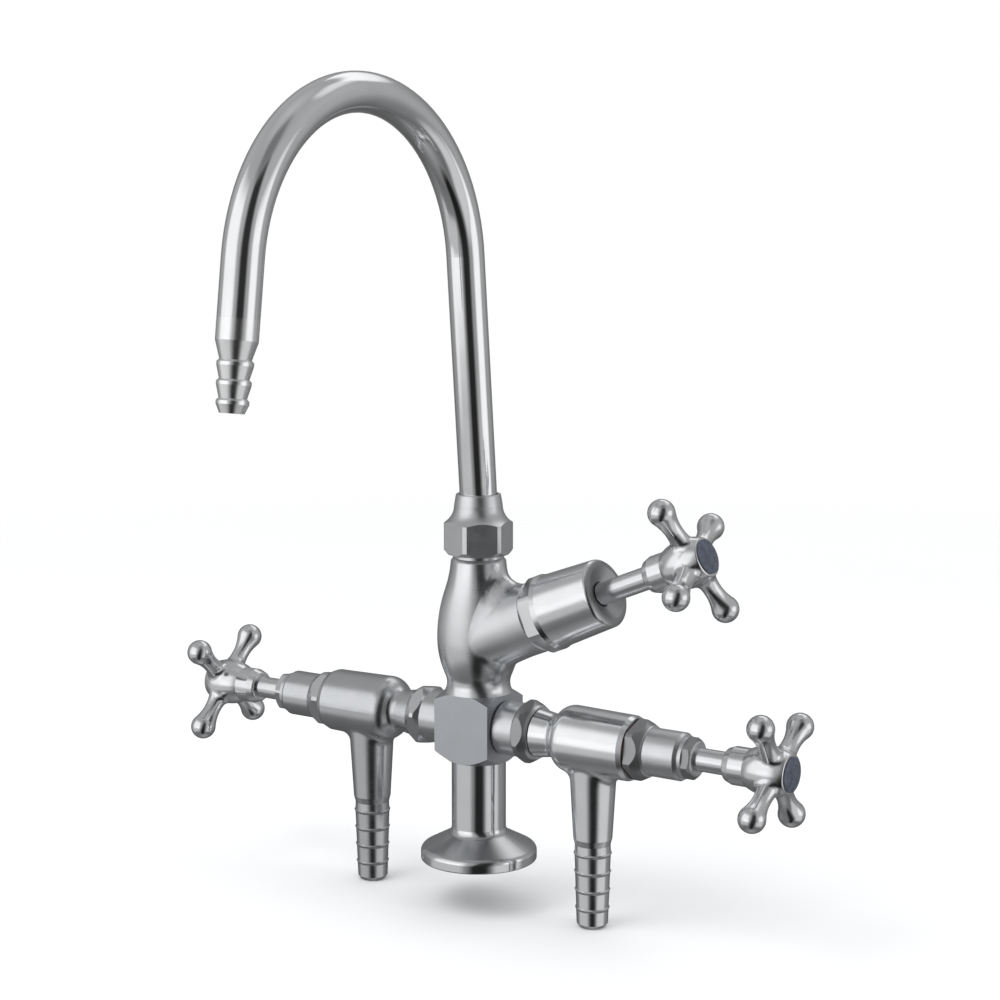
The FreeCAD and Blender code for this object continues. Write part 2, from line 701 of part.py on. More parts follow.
def make_swan_tube():
    """The bent tube: a short set above the nut, a straight riser, one large bow, a short tail."""
    body = new_body("swan_tube")
    path = new_sketch(body, "centre_line", "XZ_Plane")
    draw(path, neck_path()[0], closed=False)
    section = body.newObject("Sketcher::SketchObject", "swan_tube_section")
    section.AttachmentSupport = [(plane(body, "XY_Plane"), "")]
    section.MapMode = "FlatFace"
    foot = f"({OUTLET_TOP} - tube_engagement)"
    section.AttachmentOffset = FreeCAD.Placement(FreeCAD.Vector(0, 0, number(foot)), FreeCAD.Rotation())
    section.setExpression("AttachmentOffset.Base.z", bound(foot))
    for size in ("tube_radius", "tube_bore_radius"):
        circle = section.addGeometry(Part.Circle(FreeCAD.Vector(0, 0, 0), FreeCAD.Vector(0, 0, 1), number(size)))
        section.addConstraint(Sketcher.Constraint("Coincident", circle, 3, -1, 1))
        radius = section.addConstraint(Sketcher.Constraint("Radius", circle, number(size)))
        section.setExpression(f"Constraints[{radius}]", bound(size))
    pipe = body.newObject("PartDesign::AdditivePipe", "swan_tube_wall")
    pipe.Profile = section
    pipe.Spine = path
    doc.recompute()
    over_basin(body)


def make_swan_nozzle():
    """Ribbed hose end plugged into the tube."""
    body = new_body("swan_nozzle")
    points = [("spout_bore_radius", "0"), ("tube_bore_radius", "0"), ("tube_bore_radius", "spout_plug"),
              ("tube_radius", "spout_plug"), ("tube_radius", "spout_plug + spout_plain")]
    start = "(spout_plug + spout_plain + spout_cone)"
    for rib in range(SIZES["spout_ridge_count"]):
        foot = f"({start} + {rib} * spout_ridge_pitch)"
        ridge = f"(spout_ridge_radius - {rib} * spout_ridge_step)"
        points.append((f"(spout_valley_radius - {rib} * spout_ridge_step)", foot))
        points.append((ridge, f"{foot} + 0.12 * spout_ridge_pitch"))
        points.append((ridge, f"{foot} + 0.3 * spout_ridge_pitch"))
    end = f"({start} + {SIZES['spout_ridge_count'] - 1} * spout_ridge_pitch + spout_tip_length)"
    points += [("spout_tip_radius", end), ("spout_bore_radius", end)]
    _, end_x, end_z = neck_path()
    over = "((set_turn + bow_turn) * 1 deg)"
    turned(body, "turning", points, across=f"{end_x} - spout_plug * sin{over}",
           up=f"{end_z} - spout_plug * cos{over}", lean="set_turn + bow_turn")
    over_basin(body)


# Side valves

def make_nipple(side):
    """Threaded nipple between the block and the union nut."""
    body = new_body(f"{side}_nipple")
    start = f"({BLOCK_FACE} - side_port_depth)"
    turned(body, "turning", [
        ("nipple_bore_radius", start), ("side_port_radius", start), ("side_port_radius", BLOCK_FACE),
        ("nipple_collar_radius", BLOCK_FACE), ("nipple_collar_radius", f"{BLOCK_FACE} + nipple_collar"),
        ("nipple_thread_radius", f"{BLOCK_FACE} + nipple_collar"), ("nipple_thread_radius", NIPPLE_END),
        ("nipple_bore_radius", NIPPLE_END)])
    on_valve(body, side)


def make_union_washer(side):
    """Fibre washer inside the union."""
    body = new_body(f"{side}_union_washer")
    turned(body, "ring", ring("nipple_bore_radius", "nipple_collar_radius", NIPPLE_END, TAIL_START))
    on_valve(body, side)


def make_union_nut(side):
    """Union nut with a round skirt towards the block and a hexagon towards the valve."""
    body = new_body(f"{side}_union_nut")
    corner = "(hex_trim * union_hex_width / sqrt(3))"
    hex_start = f"({UNION_START} + union_skirt)"
    inner = "(nipple_thread_radius + thread_gap)"
    lip = f"({TAIL_START} + tail_flange + 2 * seat_gap)"
    turned(body, "blank", [
        (inner, UNION_START), ("union_skirt_radius", UNION_START), ("union_skirt_radius", hex_start),
        (corner, f"{hex_start} + {corner} - union_skirt_radius"),
        (corner, f"{UNION_END} - union_chamfer_length"), (f"{corner} - union_chamfer", UNION_END),
        ("tail_neck_radius + thread_gap", UNION_END), ("tail_neck_radius + thread_gap", lip), (inner, lip)])
    flats(body, "hexagon", "union_hex_width", f"{hex_start} + 0.2", "union_hex - 0.2")
    rounded(body, "skirt_edge", "0.6", [("union_skirt_radius", UNION_START)])
    on_valve(body, side, HEX_TURN[side])


def make_tail(side):
    """Flanged tail that the union nut pulls up; it screws into the valve body."""
    body = new_body(f"{side}_union_tail")
    flange_end = f"({TAIL_START} + tail_flange)"
    turned(body, "turning", [
        ("nipple_bore_radius", TAIL_START), ("nipple_collar_radius", TAIL_START),
        ("nipple_collar_radius", flange_end), ("tail_neck_radius", flange_end),
        ("tail_neck_radius", COCK_START), ("tail_thread_radius", COCK_START),
        ("tail_thread_radius", f"{COCK_START} + tail_thread"),
        ("nipple_bore_radius", f"{COCK_START} + tail_thread")])
    on_valve(body, side)


def hose_outline():
    """Half section of a hose nozzle, from the valve's axis down to its tip."""
    points = [("0", "0"), ("hose_root_radius", "0"), ("hose_taper_radius", "hose_taper_drop"),
              ("hose_groove_radius", "hose_groove_drop")]
    for rib in range(SIZES["hose_ridge_count"]):
        crest = f"(hose_drop - {SIZES['hose_ridge_count'] - rib} * hose_ridge_pitch)"
        radius = f"(hose_ridge_radius - {rib} * hose_ridge_step)"
        low = f"({radius} - hose_ridge_height)"
        points += [(low, f"{crest} - 1.2 * hose_ridge_height"), (radius, crest),
                   (low, f"{crest} + 2.4 * hose_ridge_height")]
    tip = "(hose_ridge_radius - hose_ridge_count * hose_ridge_step - hose_ridge_height)"
    points += [(tip, f"hose_drop - hose_tip_round"), (f"{tip} - 0.8 * hose_tip_round", "hose_drop"), ("0", "hose_drop")]
    return points


def make_valve_body(side):
    """Cast cock: waisted inlet neck, round barrel and a hose nozzle hanging from it."""
    body = new_body(f"{side}_valve_body")
    waist = f"({COCK_START} + cock_waist_reach)"
    barrel = f"({COCK_START} + barrel_start)"
    turned(body, "barrel", [
        ("0", COCK_START), ("cock_mouth_radius", COCK_START),
        ("cock_waist_radius", waist), ("barrel_radius", barrel),
        ("barrel_end_radius", f"{COCK_END} - barrel_bevel_length"),
        ("barrel_end_radius - barrel_bevel", COCK_END), ("0", COCK_END)], seam=90)
    rounded(body, "waist", "cock_waist_round", [("cock_waist_radius", waist)])
    rounded(body, "dome", "cock_dome_round", [("barrel_radius", barrel)])
    nozzle_at = f"({COCK_START} + hose_axis_reach)"
    turned(body, "nozzle", hose_outline(), up=nozzle_at, lean="90")
    blend(body, "root", "hose_blend", crossing_edges(body))
    seat_start = f"({COCK_END} - seat_depth - seat_crown)"
    thread_start = f"({COCK_END} - head_thread - 1)"
    tapped = "(tail_thread_radius + thread_gap)"
    turned(body, "waterway", [
        ("0", COCK_START), (tapped, COCK_START), (tapped, f"{COCK_START} + tail_thread + 0.5"),
        ("seat_radius", f"{COCK_START} + tail_thread + 0.5"), ("seat_radius", f"{seat_start} + seat_crown"),
        ("seat_crown_radius", f"{seat_start} + seat_crown"), ("seat_crown_radius", seat_start),
        ("chamber_radius", seat_start), ("chamber_radius", thread_start),
        ("head_thread_radius + thread_gap", thread_start), ("head_thread_radius + thread_gap", COCK_END),
        ("0", COCK_END)], cut=True)
    turned(body, "outlet", ring("0", "hose_bore_radius", "chamber_radius - 2", "hose_drop"),
           cut=True, up=nozzle_at, lean="90")
    on_valve(body, side)


# Headworks

def make_bonnet_washer(side, shoulder):
    """Thin fibre washer under the bonnet's hexagon."""
    body = new_body(f"{side}_bonnet_washer")
    turned(body, "ring", ring("head_thread_radius + 2 * thread_gap", "head_washer_radius",
                              shoulder, f"{shoulder} + head_washer_thickness"))
    on_valve(body, side)


def make_bonnet(side, shoulder):
    """Bonnet: screwed shank, hexagon and round barrel with the stuffing box."""
    body = new_body(f"{side}_bonnet")
    corner = "(hex_trim * head_hex_width / sqrt(3))"
    low = f"({shoulder} - head_thread)"
    hex_low = f"({shoulder} + head_washer_thickness)"
    hex_high = f"({hex_low} + head_hex)"
    barrel = f"({hex_high} + head_barrel)"
    top = f"({barrel} + head_groove)"
    guide = f"({shoulder} + guide_reach)"
    turned(body, "blank", [
        ("guide_width / 2 - 0.5", low), ("head_thread_radius", low), ("head_thread_radius", hex_low),
        (corner, hex_low), (corner, f"{hex_high} - head_chamfer_length"),
        (f"{corner} - head_chamfer", hex_high), ("head_barrel_radius", hex_high),
        ("head_barrel_radius", f"{barrel} - head_bevel"), ("head_barrel_radius - 0.6 * head_bevel", barrel),
        ("head_groove_radius", barrel), ("head_groove_radius", top),
        ("box_radius", top), ("box_radius", f"{shoulder} + box_floor"),
        ("spindle_radius + running_gap", f"{shoulder} + box_floor"),
        ("spindle_radius + running_gap", f"{guide} + thrust_depth"),
        ("spindle_collar_radius + running_gap", f"{guide} + thrust_depth"),
        ("spindle_collar_radius + running_gap", guide), ("guide_width / 2 - 0.5", guide)])
    flats(body, "hexagon", "head_hex_width", hex_low, "head_hex")
    flats(body, "guide", "guide_width", low, f"{guide} - {low}", inside=True)
    on_valve(body, side, HEX_TURN[side])


def make_packing(side, shoulder):
    """Packing rings round the spindle."""
    body = new_body(f"{side}_packing")
    floor = f"({shoulder} + box_floor)"
    turned(body, "ring", ring("spindle_radius + running_gap / 2", "box_radius - thread_gap",
                              floor, f"{floor} + packing_length"))
    on_valve(body, side)


def make_gland_nut(side, shoulder):
    """Gland nut that squeezes the packing."""
    body = new_body(f"{side}_gland_nut")
    corner = "(hex_trim * gland_hex_width / sqrt(3))"
    low = f"({shoulder} + box_floor + packing_length + seat_gap)"
    seat = f"({shoulder} + head_washer_thickness + head_hex + head_barrel + head_groove)"
    top = f"({seat} + gland_hex)"
    turned(body, "blank", [
        ("spindle_radius + running_gap", low), ("box_radius - thread_gap", low),
        ("box_radius - thread_gap", seat), (corner, seat), (corner, f"{top} - gland_chamfer"),
        (f"{corner} - 1.3 * gland_chamfer", top), ("spindle_radius + running_gap", top)])
    flats(body, "hexagon", "gland_hex_width", seat, "gland_hex")
    on_valve(body, side, HEX_TURN[side])


def make_spindle(side, shoulder, reach):
    """Spindle that turns in place: thread inside, thrust collar, shaft and a square for the handle."""
    body = new_body(f"{side}_spindle")
    guide = f"({shoulder} + guide_reach)"
    hub = f"({shoulder} + {reach})"
    turned(body, "turning", [
        ("0", f"{shoulder} - spindle_thread_start"),
        ("spindle_thread_radius", f"{shoulder} - spindle_thread_start"),
        ("spindle_thread_radius", f"{guide} + seat_gap"), ("spindle_collar_radius", f"{guide} + seat_gap"),
        ("spindle_collar_radius", f"{guide} + thrust_depth - seat_gap"),
        ("spindle_radius", f"{guide} + thrust_depth - seat_gap"),
        ("spindle_radius", f"{hub} - spindle_square_end"), ("screw_hole_radius", f"{hub} - spindle_square_end"),
        ("screw_hole_radius", f"{hub} - screw_length - 1"), ("0", f"{hub} - screw_length - 1")])
    flats(body, "square", "spindle_square", f"{hub} - spindle_square_start",
          "spindle_square_start - spindle_square_end", sides=4)
    on_valve(body, side, TURN[side])


def make_plunger(side, shoulder):
    """Hexagonal plunger, kept from turning by the bonnet and moved by the spindle's thread."""
    body = new_body(f"{side}_plunger")
    seat = f"({shoulder} - seat_depth + seat_gap)"
    head = f"({seat} + plunger_washer_thickness)"
    top = f"({head} + plunger_length)"
    bore = "(spindle_thread_radius + plunger_play)"
    corner = "((guide_width - 2 * plunger_play) / sqrt(3))"
    turned(body, "turning", [
        ("plunger_screw_radius + thread_gap", head), ("plunger_head_radius", head),
        ("plunger_head_radius", f"{head} + plunger_head"), (corner, f"{head} + plunger_head"),
        (corner, top), (bore, top), (bore, f"{top} - plunger_tap_depth"),
        ("0", f"{top} - plunger_tap_depth"), ("0", f"{head} + plunger_screw_depth"),
        ("plunger_screw_radius + thread_gap", f"{head} + plunger_screw_depth")])
    flats(body, "hexagon", "guide_width - 2 * plunger_play", f"{head} + plunger_head",
          "plunger_length - plunger_head")
    on_valve(body, side, HEX_TURN[side])


def make_plunger_washer(side, shoulder):
    """Rubber washer that closes the seat."""
    body = new_body(f"{side}_plunger_washer")
    seat = f"({shoulder} - seat_depth + seat_gap)"
    turned(body, "ring", ring("plunger_screw_radius + thread_gap", "plunger_washer_radius",
                              seat, f"{seat} + plunger_washer_thickness"))
    on_valve(body, side)


def make_plunger_screw(side, shoulder):
    """Brass screw that holds the washer on the plunger."""
    body = new_body(f"{side}_plunger_screw")
    seat = f"({shoulder} - seat_depth + seat_gap)"
    shank = f"({seat} + plunger_washer_thickness + plunger_screw_depth - 0.2)"
    turned(body, "turning", [
        ("0", f"{seat} - plunger_screw_head"), ("plunger_screw_head_radius", f"{seat} - plunger_screw_head"),
        ("plunger_screw_head_radius", seat), ("plunger_screw_radius", seat),
        ("plunger_screw_radius", shank), ("0", shank)])
    on_valve(body, side)


def make_bell(side, shoulder):
    """Cover over the upper headwork: hexagonal mouth, slightly tapered shell, dished end."""
    body = new_body(f"{side}_bonnet_bell")
    low = f"({shoulder} + 0.3)"
    top = f"({low} + bell_length)"
    web = f"({shoulder} + bell_web_start)"
    corner = "(hex_trim * bell_hex_width / sqrt(3))"
    inner = "(bell_radius - bell_wall)"
    mouth = "(hex_trim * head_hex_width / sqrt(3) + bell_hole_gap)"
    hole = "(spindle_radius + bell_hole_gap)"
    turned(body, "turning", [
        (mouth, low), (f"{corner} - bell_hex_chamfer", low), (corner, f"{low} + bell_hex_chamfer"),
        (corner, f"{low} + bell_hex"), ("bell_shoulder_radius", f"{low} + bell_shoulder"),
        ("bell_radius", top), ("bell_radius - bell_rim", top), (hole, f"{top} - bell_dish"),
        (hole, f"{top} - bell_dish - bell_wall"), (inner, f"{top} - bell_dish - bell_wall"),
        (inner, f"{web} + bell_web"), ("head_barrel_radius + thread_gap", f"{web} + bell_web"),
        ("head_barrel_radius + thread_gap", web), (mouth, web)])
    flats(body, "hexagon", "bell_hex_width", low, "bell_hex")
    rounded(body, "edge", "bell_edge_round", [("bell_radius", top)])
    on_valve(body, side)


# Cross handles

def make_handle(side, hub):
    """Cross handle: collar, hub and four arms that swell into balls."""
    body = new_body(f"{side}_handle")
    back = f"({hub} - collar_reach)"
    turned(body, "hub", [
        ("0", back), ("collar_mouth_radius", back), ("collar_radius", f"{back} + collar_flare"),
        ("collar_radius", f"{back} + collar_length", "hub_curve", 1),
        ("face_radius", f"{hub} + face_reach"), ("0", f"{hub} + face_reach")], seam=45)
    drop = "(arm_root_radius - arm_neck_radius)"
    swell = "(ball_radius - arm_neck_radius)"
    run = "(arm_neck_reach - arm_root_reach)"
    rest = "(ball_reach - arm_neck_reach)"
    root_curve = f"(({run} ^ 2 + {drop} ^ 2) / (2 * {drop}))"
    ball_curve = f"(({rest} ^ 2 + arm_neck_radius ^ 2 - ball_radius ^ 2) / (2 * {swell}))"
    share = f"(ball_radius / ({ball_curve} + ball_radius))"
    arm = turned(body, "arm", [
        ("0", "0"), ("arm_root_radius", "0"), ("arm_root_radius", "arm_root_reach", root_curve, -1),
        ("arm_neck_radius", "arm_neck_reach", ball_curve, -1),
        (f"(arm_neck_radius + {ball_curve}) * {share}", f"ball_reach - {rest} * {share}", "ball_radius", 1),
        ("0", "ball_reach + ball_radius")], up=hub, lean="90")
    pattern = body.newObject("PartDesign::PolarPattern", f"{body.Name}_arms")
    pattern.Originals = [arm]
    pattern.Axis = (next(item for item in body.Origin.OriginFeatures if item.Role == "Z_Axis"), [""])
    pattern.Angle = 360
    pattern.Occurrences = 4
    body.Tip = pattern
    doc.recompute()
    blend(body, "arm_roots", "arm_blend", arm_root_edges(body, number(hub)))
    rounded(body, "collar_edge", "collar_round", [("collar_mouth_radius", back)])
    rounded(body, "face_edge", "face_round", [("face_radius", f"{hub} + face_reach")])
    square = f"({hub} - spindle_square_start)"
    floor = f"({hub} - spindle_square_end)"
    turned(body, "bore", [
        ("0", back), ("spindle_radius + thread_gap", back), ("spindle_radius + thread_gap", square),
        ("screw_hole_radius + 0.2", square), ("screw_hole_radius + 0.2", f"{hub} + face_reach - screw_recess_depth"),
        ("screw_head_radius + 0.3", f"{hub} + face_reach - screw_recess_depth"),
        ("screw_head_radius + 0.3", f"{hub} + face_reach - cap_recess"),
        ("cap_radius + thread_gap", f"{hub} + face_reach - cap_recess"),
        ("cap_radius + thread_gap", f"{hub} + face_reach"), ("0", f"{hub} + face_reach")], cut=True)
    flats(body, "socket", "spindle_square + 2 * thread_gap", square, f"{floor} - {square}", sides=4, inside=True)
    on_valve(body, side, TURN[side])


def arm_root_edges(body, hub):
    """Edges where the arms leave the hub."""
    names = []
    for index, edge in real_edges(body):
        middle = edge.CenterOfMass
        off_axis = math.hypot(middle.x, middle.y)
        crosses = not isinstance(edge.Curve, (Part.Line, Part.Circle))
        if crosses and off_axis > number("arm_root_reach") and abs(middle.z - hub) < number("arm_root_radius"):
            names.append(f"Edge{index}")
    return names


def make_handle_screw(side, hub):
    """Screw that holds the handle on the spindle."""
    body = new_body(f"{side}_handle_screw")
    seat = f"({hub} + face_reach - screw_recess_depth)"
    turned(body, "turning", [
        ("0", f"{hub} - screw_length"), ("screw_hole_radius - thread_gap", f"{hub} - screw_length"),
        ("screw_hole_radius - thread_gap", seat), ("screw_head_radius", seat),
        ("screw_head_radius", f"{seat} + screw_head"), ("0", f"{seat} + screw_head")])
    on_valve(body, side, TURN[side])


def make_handle_cap(side, hub):
    """Plain coloured disc pressed into the front of the hub."""
    body = new_body(f"{side}_handle_cap")
    floor = f"({hub} + face_reach - cap_recess)"
    edge = f"({hub} + face_reach + cap_edge)"
    crown = "((cap_radius ^ 2 + cap_rise ^ 2) / (2 * cap_rise))"
    turned(body, "disc", [
        ("0", floor), ("cap_radius", floor), ("cap_radius", edge, crown, 1), ("0", f"{edge} + cap_rise")])
    on_valve(body, side, TURN[side])


def make_headwork(side):
    """Everything that screws into one valve: bonnet, spindle, plunger and handle."""
    shoulder = SHOULDER[side]
    hub = f"({shoulder} + {REACH[side]})"
    make_bonnet_washer(side, shoulder)
    make_bonnet(side, shoulder)
    make_packing(side, shoulder)
    make_gland_nut(side, shoulder)
    make_spindle(side, shoulder, REACH[side])
    make_plunger(side, shoulder)
    make_plunger_washer(side, shoulder)
    make_plunger_screw(side, shoulder)
    make_handle(side, hub)
    make_handle_screw(side, hub)
    make_handle_cap(side, hub)


def write_parts():
    """Check every object and shape, then write one file for each piece."""
    doc.recompute()
    for item in doc.Objects:
        if "Invalid" in item.State or "Error" in item.State:
            raise RuntimeError(f"{item.Label}: {item.State}")
    for body in pieces:
        if body.Shape.isNull() or not body.Shape.isValid() or len(body.Shape.Solids) != 1:
            raise RuntimeError(f"{body.Label}: bad shape")
    os.makedirs("parts", exist_ok=True)
    for body in pieces:
        body.Shape.exportStep(f"parts/{body.Label}.step")


make_base_pillar()
make_pillar_gasket()
make_centre_block()
make_swan_valve_body()
make_swan_body_gasket()
make_swan_ring_seal()
make_swan_washer()
make_swan_nut()
make_swan_ferrule()
make_swan_tube()
make_swan_nozzle()
for hand in ("left", "right"):
    make_nipple(hand)
    make_union_washer(hand)
    make_union_nut(hand)
    make_tail(hand)
    make_valve_body(hand)
for hand in ("left", "right", "upper"):
    make_headwork(hand)
make_bell("upper", SHOULDER["upper"])
write_parts()
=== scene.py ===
import math

import bmesh
import bpy
from mathutils import Matrix, Vector

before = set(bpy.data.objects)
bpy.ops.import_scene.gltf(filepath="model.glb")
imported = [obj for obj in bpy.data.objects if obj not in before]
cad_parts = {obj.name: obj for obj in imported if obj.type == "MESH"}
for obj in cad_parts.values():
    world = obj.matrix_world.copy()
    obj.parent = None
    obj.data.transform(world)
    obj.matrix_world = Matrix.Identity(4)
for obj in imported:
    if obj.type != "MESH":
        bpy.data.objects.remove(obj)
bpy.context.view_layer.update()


# The flange and pillar stand on the bench and carry the whole tap.
# They are turned from one brass casting and chromium plated; the flange's top is rougher and painted
# darker, as painted shade.
# A pipe thread inside takes the water inlet.
def new_material(name, colour, metal, roughness):
    """A material with one main shader, whose plain values are set on its own sockets."""
    material = bpy.data.materials.new(name)
    material.use_nodes = True
    nodes = material.node_tree.nodes
    nodes.clear()
    out = nodes.new("ShaderNodeOutputMaterial")
    shader = nodes.new("ShaderNodeBsdfPrincipled")
    shader.inputs["Base Color"].default_value = (*colour, 1.0)
    shader.inputs["Metallic"].default_value = metal
    shader.inputs["Roughness"].default_value = roughness
    material.node_tree.links.new(shader.outputs["BSDF"], out.inputs["Surface"])
    return material, shader


def cloud(material, size, detail=2.0, closeness=(1.0, 1.0, 1.0)):
    """A soft three-dimensional noise on the piece, with blotches of this size in metres.
    They are longer along an axis where the closeness is under 1."""
    nodes = material.node_tree.nodes
    place = nodes.new("ShaderNodeTexCoord")
    fit = nodes.new("ShaderNodeMapping")
    fit.inputs["Scale"].default_value = tuple(c / size for c in closeness)
    noise = nodes.new("ShaderNodeTexNoise")
    noise.inputs["Scale"].default_value = 1.0
    noise.inputs["Detail"].default_value = detail
    links = material.node_tree.links
    links.new(place.outputs["Object"], fit.inputs["Vector"])
    links.new(fit.outputs["Vector"], noise.inputs["Vector"])
    return noise.outputs["Fac"]


NOISE_LOW = 0.3
NOISE_HIGH = 0.7


def spread(material, value, low, high):
    """Turns a noise into a number between two limits."""
    ramp = material.node_tree.nodes.new("ShaderNodeMapRange")
    ramp.inputs["From Min"].default_value = NOISE_LOW
    ramp.inputs["From Max"].default_value = NOISE_HIGH
    ramp.inputs["To Min"].default_value = low
    ramp.inputs["To Max"].default_value = high
    material.node_tree.links.new(value, ramp.inputs["Value"])
    return ramp.outputs["Result"]


def tint(material, shader, value, dark, light):
    """Lets the colour wander between two close tones."""
    mix = material.node_tree.nodes.new("ShaderNodeMix")
    mix.data_type = "RGBA"
    mix.inputs["A"].default_value = (*dark, 1.0)
    mix.inputs["B"].default_value = (*light, 1.0)
    links = material.node_tree.links
    links.new(spread(material, value, 0.0, 1.0), mix.inputs["Factor"])
    links.new(mix.outputs["Result"], shader.inputs["Base Color"])


def relief(material, shader, value, depth):
    """Makes a noise into a bump of this depth in metres."""
    bump = material.node_tree.nodes.new("ShaderNodeBump")
    bump.inputs["Distance"].default_value = depth
    links = material.node_tree.links
    links.new(value, bump.inputs["Height"])
    links.new(bump.outputs["Normal"], shader.inputs["Normal"])


STAIN_SIZE = 0.012
WIPE_SIZE = 0.004
LIGHT_SHARE = 1.02
DARK_SHARE = 0.97


def chrome(name, tone, gloss, wave, wave_depth, rub=(1.0, 1.0, 1.0)):
    """Chromium plate: a tone, a low and high roughness, the size and depth of the waves
    that polishing leaves, and how closely the rubbing marks lie along each axis."""
    light = tuple(t * LIGHT_SHARE for t in tone)
    dark = tuple(t * DARK_SHARE for t in tone)
    material, shader = new_material(name, tone, metal=1.0, roughness=gloss[0])
    tint(material, shader, cloud(material, STAIN_SIZE), dark, light)
    wipe = cloud(material, WIPE_SIZE, closeness=rub)
    links = material.node_tree.links
    links.new(spread(material, wipe, *gloss), shader.inputs["Roughness"])
    relief(material, shader, cloud(material, wave, detail=1.0), wave_depth)
    return material


def along(material, output, axis, start, end):
    """Rises from 0 to 1 between two limits of the place or the normal along this axis."""
    nodes = material.node_tree.nodes
    place = nodes.new("ShaderNodeTexCoord")
    reach = nodes.new("ShaderNodeVectorMath")
    reach.operation = "DOT_PRODUCT"
    reach.inputs[1].default_value = axis
    rise = nodes.new("ShaderNodeMapRange")
    rise.interpolation_type = "SMOOTHSTEP"
    rise.inputs["From Min"].default_value = start
    rise.inputs["From Max"].default_value = end
    links = material.node_tree.links
    links.new(place.outputs[output], reach.inputs[0])
    links.new(reach.outputs["Value"], rise.inputs["Value"])
    return rise.outputs["Result"]


def darken_and_roughen(material, where, darker, roughness):
    """Makes the plate darker and rougher where this mask is 1."""
    nodes = material.node_tree.nodes
    links = material.node_tree.links
    shader = next(n for n in nodes if n.type == "BSDF_PRINCIPLED")
    tone = nodes.new("ShaderNodeMix")
    tone.data_type = "RGBA"
    tone.blend_type = "MULTIPLY"
    tone.inputs["B"].default_value = (darker, darker, darker, 1.0)
    gloss = nodes.new("ShaderNodeMix")
    gloss.data_type = "FLOAT"
    gloss.inputs["B"].default_value = roughness
    for mix, socket in ((tone, shader.inputs["Base Color"]), (gloss, shader.inputs["Roughness"])):
        links.new(where, mix.inputs["Factor"])
        links.new(socket.links[0].from_socket, mix.inputs["A"])
        links.new(mix.outputs["Result"], socket)


def finish(material, slot, *names):
    """Gives CAD nodes a material; the slot argument is not used."""
    for name in names:
        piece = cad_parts[name]
        piece.data.materials.clear()
        piece.data.materials.append(material)


UP = (0.0, 0.0, 1.0)
pillar_chrome = chrome(
    "pillar_chrome",
    tone=(0.85, 0.865, 0.885),
    gloss=(0.09, 0.13),
    wave=0.010,
    wave_depth=0.00002,
    rub=(1.0, 1.0, 0.2),
)
# Painted shade: the flange's up-facing top is made darker as well as rougher.
flange_top = along(pillar_chrome, "Normal", UP, start=0.2, end=0.7)
darken_and_roughen(pillar_chrome, flange_top, darker=0.76, roughness=0.26)
finish(pillar_chrome, "chrome", "base_pillar")


# The square block in the middle joins the pillar, both hose cocks and the swan body.
# Its faces are milled from a turned blank and only lightly polished before plating.
block_chrome = chrome(
    "block_chrome", tone=(0.56, 0.58, 0.61), gloss=(0.36, 0.41), wave=0.010, wave_depth=0.00001
)
finish(block_chrome, "chrome", "centre_block")


# The bulb-shaped body with its inclined branch is one brass casting.
# It is ground and buffed by hand, which leaves long soft waves in the plate,
# and its belly is duller than its two ends.
DOWN = (0.0, 0.0, -1.0)
BELLY_BOTTOM = (0.098, 0.110)
BELLY_TOP = (0.119, 0.135)
body_chrome = chrome(
    "body_chrome", tone=(0.82, 0.835, 0.855), gloss=(0.21, 0.25), wave=0.012, wave_depth=0.00003
)
below_neck = along(body_chrome, "Object", DOWN, start=-BELLY_TOP[1], end=-BELLY_TOP[0])
above_block = along(body_chrome, "Object", UP, start=BELLY_BOTTOM[0], end=BELLY_BOTTOM[1])
belly = body_chrome.node_tree.nodes.new("ShaderNodeMath")
belly.operation = "MULTIPLY"
body_chrome.node_tree.links.new(below_neck, belly.inputs[0])
body_chrome.node_tree.links.new(above_block, belly.inputs[1])
darken_and_roughen(body_chrome, belly.outputs["Value"], darker=0.98, roughness=0.42)
finish(body_chrome, "chrome", "swan_valve_body")


# A bell-shaped brass cover, turned and plated, hides the bonnet of the upper valve.
# Its dished outer end is painted darker than its side, as painted shade in the dish, and is less
# polished.
BRANCH_TILT = math.radians(22.6)
branch_axis = (math.cos(BRANCH_TILT), 0.0, math.sin(BRANCH_TILT))
bell_chrome = chrome(
    "bell_chrome", tone=(0.86, 0.87, 0.89), gloss=(0.17, 0.21), wave=0.012, wave_depth=0.00003
)
# Painted shade: the dished end face is made darker as well as rougher.
bell_end = along(bell_chrome, "Normal", branch_axis, start=0.6, end=0.92)
darken_and_roughen(bell_chrome, bell_end, darker=0.46, roughness=0.40)
finish(bell_chrome, "chrome", "upper_bonnet_bell")


# Both hose cocks are castings like the body, each with a ribbed hose nozzle below.
# The left one is buffed less, so rougher, and its plate is painted darker than the right's, as
# painted shade.
right_chrome = chrome(
    "right_cock_chrome", tone=(0.88, 0.893, 0.91), gloss=(0.17, 0.22), wave=0.010, wave_depth=0.00003
)
# The left plate's lower tone is painted shade.
left_painted_shade_chrome = chrome(
    "left_cock_painted_shade_chrome", tone=(0.66, 0.675, 0.695), gloss=(0.22, 0.28), wave=0.010, wave_depth=0.00003
)
for side, plate in (("right", right_chrome), ("left", left_painted_shade_chrome)):
    finish(plate, "chrome", f"{side}_valve_body", f"{side}_nipple", f"{side}_union_tail")


# A union nut draws each hose cock onto the block, and a bonnet and gland nut close its valve.
# They are turned from brass bar, and the flats are only linished before plating, which leaves them
# rougher.
# The right cock's flats are also painted darker, as painted shade. Those of the left cock take its
# plate, painted darker as painted shade.
NUT_PLATE = {
    "tone": (0.77, 0.785, 0.805),
    "gloss": (0.31, 0.37),
    "wave": 0.008,
    "wave_depth": 0.00002,
}
COCK_AXIS_HEIGHT = 0.0648
HEXAGON_RADIUS = {"union_nut": 0.01275, "bonnet": 0.0116, "gland_nut": 0.00795}
HEXAGON_EDGE = 0.0001


